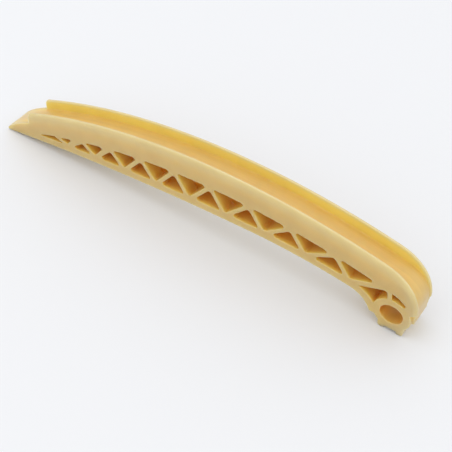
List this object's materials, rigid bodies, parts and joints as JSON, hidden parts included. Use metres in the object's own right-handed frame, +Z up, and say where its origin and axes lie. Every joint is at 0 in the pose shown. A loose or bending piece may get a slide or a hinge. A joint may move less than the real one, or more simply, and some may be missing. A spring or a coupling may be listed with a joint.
{
  "type": "timing chain guide",
  "caption": "Curved moulded nylon chain guide: a shallow channel with two rails over a zigzag rib truss, a bored pivot boss at one end and a thin free tip at the other.",
  "frame": {"origin": "centre of the pivot bore, on the guide's middle plane", "axes": "+X along the guide, from the free tip past the pivot; +Y across the guide, along the bore; +Z up, out of the chain channel"},
  "size_m": [0.2216, 0.0144, 0.042],
  "materials": {
    "natural_nylon": "natural, slightly translucent moulded nylon with a soft satin sheen"
  },
  "bodies": {
    "root": {"chain_guide": "natural_nylon"}
  },
  "joints": []
}
